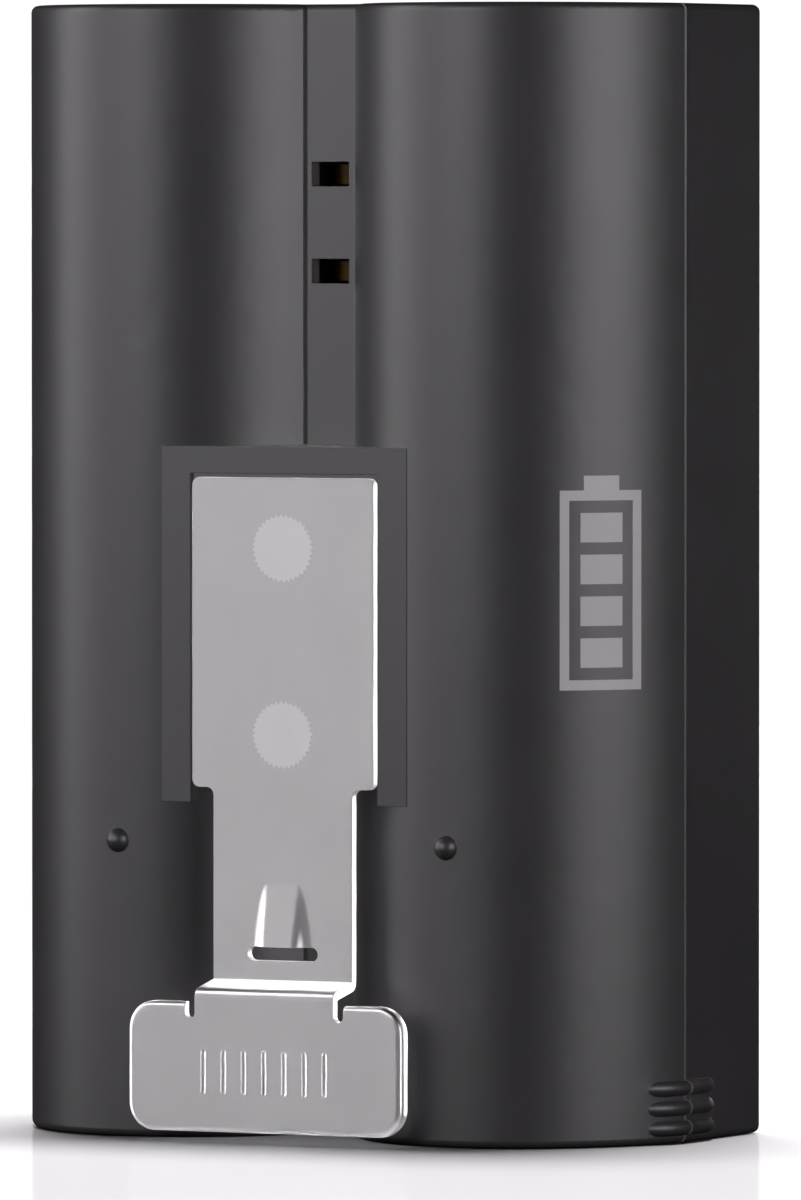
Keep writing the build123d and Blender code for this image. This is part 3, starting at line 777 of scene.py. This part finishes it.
def floor_look():
    """Slightly glossy white, which fades with distance into the room's white."""
    material = bpy.data.materials.new("floor")
    material.use_nodes = True
    tree = material.node_tree
    matt = tree.nodes.new("ShaderNodeBsdfDiffuse")
    matt.inputs["Color"].default_value = FLOOR_WHITE
    gloss = tree.nodes.new("ShaderNodeBsdfAnisotropic")
    gloss.inputs["Color"].default_value = (1, 1, 1, 1)
    gloss.inputs["Roughness"].default_value = FLOOR_ROUGHNESS
    near = tree.nodes.new("ShaderNodeMixShader")
    near.inputs["Fac"].default_value = FLOOR_GLOSS
    far = tree.nodes.new("ShaderNodeEmission")
    far.inputs["Strength"].default_value = ROOM_BRIGHTNESS
    place = tree.nodes.new("ShaderNodeTexCoord")
    distance = tree.nodes.new("ShaderNodeVectorMath")
    distance.operation = "LENGTH"
    fade = tree.nodes.new("ShaderNodeMapRange")
    fade.interpolation_type = "SMOOTHSTEP"
    fade.inputs["From Min"].default_value = FLOOR_FADE_START * MM
    fade.inputs["From Max"].default_value = FLOOR_FADE_END * MM
    faded = tree.nodes.new("ShaderNodeMixShader")
    tree.links.new(matt.outputs["BSDF"], near.inputs[1])
    tree.links.new(gloss.outputs["BSDF"], near.inputs[2])
    tree.links.new(place.outputs["Object"], distance.inputs[0])
    tree.links.new(distance.outputs["Value"], fade.inputs["Value"])
    tree.links.new(fade.outputs["Result"], faded.inputs["Fac"])
    tree.links.new(near.outputs["Shader"], faded.inputs[1])
    tree.links.new(far.outputs["Emission"], faded.inputs[2])
    tree.links.new(faded.outputs["Shader"], tree.nodes["Material Output"].inputs["Surface"])
    return material


def make_floor():
    """A square floor just under the object. The object's own surfaces don't see it."""
    bm = bmesh.new()
    corners = [(-FLOOR_HALF, -FLOOR_HALF), (FLOOR_HALF, -FLOOR_HALF)]
    corners += [(FLOOR_HALF, FLOOR_HALF), (-FLOOR_HALF, FLOOR_HALF)]
    bm.faces.new([bm.verts.new((x, y, 0)) for x, y in corners])
    made = add_object("floor", mesh_from(bm, "floor"))
    made.data.transform(Matrix.Scale(MM, 4))
    made.data.materials.append(floor_look())
    made.location.z = -FLOOR_GAP * MM
    made.visible_diffuse = False
    made.visible_glossy = False
    made.visible_transmission = False
    return made


def make_panel(name, width, height, place, facing, radiance, lights, shadows=None):
    """A light panel, which lights one group of pieces and whose light only another group blocks.

    Its size and place are in millimetres. Without a group for the shadows, everything casts them.
    """
    light = bpy.data.lights.new(name, "AREA")
    light.shape = "RECTANGLE"
    light.size, light.size_y = width * MM, height * MM
    light.energy = radiance * math.pi * light.size * light.size_y
    light.color = PANEL_COLOR
    # Panels whose shadows are linked came out at about half their light with this switched on
    light.cycles.use_multiple_importance_sampling = shadows is None
    panel = add_object(name, light)
    panel.location = place * MM
    panel.rotation_mode = "QUATERNION"
    panel.rotation_quaternion = facing.to_track_quat("-Z", "Y")
    panel.visible_camera = False
    panel.light_linking.receiver_collection = lights
    panel.light_linking.blocker_collection = shadows


def add_panel(name, angle, low, high, span, radiance, lights, shadows=None, distance=PANEL_DISTANCE):
    """An upright panel that faces the object.

    Its angle runs around the object from the camera towards the picture's right. It reaches from a low
    to a high edge in millimetres, and its span is the angle that it fills, seen from the object.
    """
    width = 2 * distance * math.tan(math.radians(span / 2))
    turn = VIEW_AZIMUTH + math.radians(angle)
    away = Vector((math.sin(turn), -math.cos(turn), 0))
    place = away * distance + Vector((0, 0, (low + high) / 2))
    make_panel(name, width, high - low, place, -away, radiance, lights, shadows)


# Name, angle, lowest and highest edge, span and radiance of each upright panel.
# The first set lights the case. Only the latch and its studs cast shadows in it, because in the
# photograph one lobe doesn't shade the other.
CASE_PANELS = (
    ("case_left_side", -97.5, 10, 500, 30, 4.2),
    ("case_left", -67.5, 10, 250, 30, 2.5),
    ("case_left_front", -37.5, 90, 250, 30, 9.4),
    ("case_right", 54, 10, 250, 42, 6.3),
    ("case_behind", 165, 0, 90, 45, 2.5),
)
# The second set lights the latch and the studs, and only the studs cast shadows in it.
METAL_PANELS = (
    ("metal_front", -55, -70, 260, 60, 0.71),
    ("metal_left", -120, -150, 350, 60, 3.0),
    ("metal_top", -55, 400, 900, 90, 3.0),
    ("metal_right", 47, -100, 250, 16, 4.6),
    ("metal_side", 128, -100, 250, 26, 3.6),
    ("metal_ledge", 180, 60, 350, 50, 1.7),
    ("metal_camera", 0, -150, 260, 30, 0.3),
)
# This one stands far behind and lights only the floor.
BACKDROP = ("backdrop", 180, 0, 3000, 100, 1.4)

scene.world = make_room()
floor = make_floor()
outside = [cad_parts[name] for name in ("front_shell", "rear_shell", "rear_label")]
inside = [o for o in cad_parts.values() if o not in outside]
case_group = group_of("case_outside", outside + [pictogram])
inside_group = group_of("inside", inside)
metal_group = group_of("metal", [latch, studs])
floor_group = group_of("floor", [floor])
latch_group = group_of("case_shadows", [latch, studs])
studs_group = group_of("metal_shadows", [studs])

for panel_name, *place, radiance in CASE_PANELS:
    add_panel(panel_name, *place, radiance, case_group, latch_group)
    # The inside gets a little of the case's light, so that the contacts just show in their windows
    add_panel("inside_" + panel_name, *place, radiance * INSIDE_SHARE, inside_group)
for row in METAL_PANELS:
    add_panel(*row, metal_group, studs_group)
make_panel("metal_below", *BELOW_SIZE, BELOW_PLACE, UP, BELOW_RADIANCE, metal_group, studs_group)
make_panel("overhead", *OVERHEAD_SIZE, OVERHEAD_PLACE, -UP, OVERHEAD_RADIANCE, floor_group)
add_panel(*BACKDROP, floor_group, distance=BACKDROP_DISTANCE)
